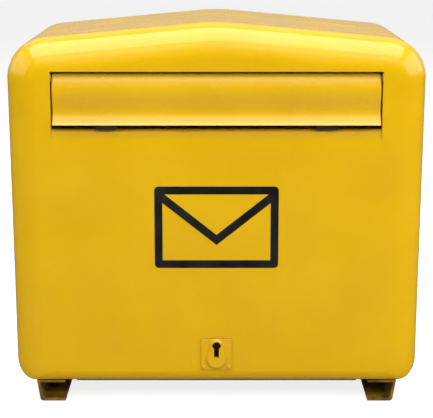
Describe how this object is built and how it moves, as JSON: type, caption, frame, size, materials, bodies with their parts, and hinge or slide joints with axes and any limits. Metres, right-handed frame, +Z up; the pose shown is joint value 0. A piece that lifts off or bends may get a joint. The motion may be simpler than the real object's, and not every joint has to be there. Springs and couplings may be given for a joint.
{
  "type": "mailbox",
  "caption": "Wall-mounted collection mailbox with a gabled, rounded housing, a hinged letter flap, a keyed lock and a sprung floor door between two bag rails.",
  "frame": {"origin": "middle of the footprint, level with the underside of the rails", "axes": "+Z up, the letter flap faces -Y, +X is on the right seen from behind the viewer facing the flap"},
  "size_m": [0.5794, 0.3006, 0.54],
  "materials": {
    "gel_coat": "glossy yellow gel coat on glass-fibre moulding",
    "yellow_paint": "glossy yellow paint on pressed steel",
    "rail_paint": "yellow paint, dulled by wear and dirt",
    "black_film": "black self-adhesive film",
    "steel": "bright zinc-plated steel",
    "zinc": "galvanised sheet, slight spangle",
    "lock_steel": "plated lock steel",
    "spring_steel": "oiled spring steel",
    "brass": "machined brass",
    "door_aluminium": "mill-finish aluminium sheet",
    "white_plastic": "natural white bearing plastic",
    "rubber": "matt black rubber"
  },
  "bodies": {
    "housing": {"shell": "gel_coat", "front_emblem": "black_film", "key_plate": "yellow_paint", "key_plate_rivets": "yellow_paint", "flap_bushes": "white_plastic", "bracket_left": "zinc", "bracket_right": "zinc", "bracket_nuts": "zinc", "flap_buffers": "rubber", "letter_chute": "zinc", "slot_baffle": "zinc", "baffle_screws": "steel", "lock_case": "lock_steel", "lock_cover": "lock_steel", "detent_spring": "spring_steel", "key_guide": "lock_steel", "lock_screws": "steel", "cover_screws": "steel", "floor_frame": "zinc", "rail_left": "rail_paint", "rail_right": "rail_paint", "rail_bolts": "steel", "rail_nuts": "steel", "hinge_leaf": "zinc", "hinge_pin": "steel", "hinge_screws": "steel", "door_springs": "spring_steel", "rear_seal": "rubber", "back_plate": "zinc", "back_stiffeners": "zinc", "back_screws": "steel", "back_nuts": "steel"},
    "flap": {"letter_flap": "yellow_paint", "flap_rod": "steel"},
    "barrel": {"lock_barrel": "brass"},
    "bolt": {"lock_bolt": "brass"},
    "door": {"floor_door": "door_aluminium", "door_keeper": "steel", "keeper_screws": "steel"}
  },
  "joints": [
    {"name": "flap_swing", "type": "hinge", "parent": "housing", "child": "flap", "pos_m": [0, -0.13075, 0.4685], "axis": [-1, 0, 0], "range_deg": [0, 60]},
    {"name": "door_swing", "type": "hinge", "parent": "housing", "child": "door", "pos_m": [0, 0.10975, 0.0254], "axis": [1, 0, 0], "range_deg": [0, 80], "stiffness_Nm_per_rad": 1, "springref_deg": -85.94, "deforming": ["door_springs"]},
    {"name": "lock_turn", "type": "hinge", "parent": "housing", "child": "barrel", "pos_m": [0, -0.10625, 0.089], "axis": [0, -1, 0], "range_deg": [0, 60]},
    {"name": "bolt_throw", "type": "slide", "parent": "housing", "child": "bolt", "axis": [1, 0, 0], "range_m": [0, 0.022]}
  ],
  "couplings": [
    {"joint": "bolt_throw", "follows": "lock_turn", "m_per_rad": 0.021}
  ]
}
